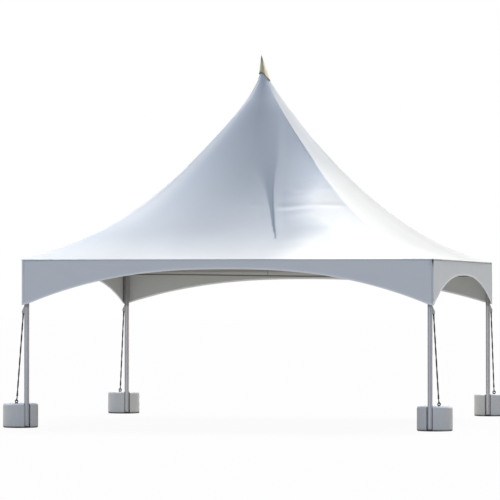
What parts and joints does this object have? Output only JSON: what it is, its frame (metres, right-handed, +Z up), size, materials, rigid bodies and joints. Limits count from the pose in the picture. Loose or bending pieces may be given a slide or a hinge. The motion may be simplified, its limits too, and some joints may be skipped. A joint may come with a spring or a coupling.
{
  "type": "high-peak frame marquee tent",
  "caption": "Square high-peak frame marquee with scalloped valances, grooved aluminium legs, a flying mast with a pointed finial, and slotted concrete drum weights tied to the legs.",
  "frame": {"origin": "on the ground, in the middle of the whole footprint with the drum weights counted; the tent's own centre is at x 0.054, y -0.201", "axes": "+Z up, +Y from the front to the back, +X to the right seen from the front"},
  "size_m": [6.6755, 6.5502, 5.64],
  "materials": {
    "frame_aluminium": "mill finish, dull",
    "concrete": "smooth cast concrete",
    "galvanised_steel": "galvanised",
    "dark_steel": "black, slightly worn",
    "webbing": "woven polyester webbing",
    "canopy_fabric": "coated membrane, soft sheen",
    "valance_fabric": "coated membrane, soft sheen",
    "gold_metal": "satin gold"
  },
  "bodies": {
    "root": {"leg_front_left": "frame_aluminium", "leg_front_right": "frame_aluminium", "leg_back_left": "frame_aluminium", "leg_back_right": "frame_aluminium", "corner_bracket_front_left": "frame_aluminium", "corner_bracket_front_right": "frame_aluminium", "corner_bracket_back_left": "frame_aluminium", "corner_bracket_back_right": "frame_aluminium", "eave_beam_front": "frame_aluminium", "eave_beam_right": "frame_aluminium", "eave_beam_back": "frame_aluminium", "eave_beam_left": "frame_aluminium", "mast": "frame_aluminium", "weight_front_left": "concrete", "weight_front_right": "concrete", "weight_back_left": "concrete", "weight_back_right": "concrete", "eye_bolt_front_left": "dark_steel", "eye_bolt_front_right": "dark_steel", "eye_bolt_back_left": "dark_steel", "eye_bolt_back_right": "dark_steel", "cross_cable_front_left": "galvanised_steel", "cross_cable_front_right": "galvanised_steel", "cross_cable_back_left": "galvanised_steel", "cross_cable_back_right": "galvanised_steel", "strap_hook_front_left": "dark_steel", "strap_hook_front_right": "dark_steel", "strap_hook_back_left": "dark_steel", "strap_hook_back_right": "dark_steel", "tie_strap_front_left": "webbing", "tie_strap_front_right": "webbing", "tie_strap_back_left": "webbing", "tie_strap_back_right": "webbing", "roof_panel_front": "canopy_fabric", "roof_panel_right": "canopy_fabric", "roof_panel_back": "canopy_fabric", "roof_panel_left": "canopy_fabric", "peak_collar": "canopy_fabric", "valance_front": "valance_fabric", "valance_right": "valance_fabric", "valance_back": "valance_fabric", "valance_left": "valance_fabric", "finial": "gold_metal"}
  },
  "joints": []
}
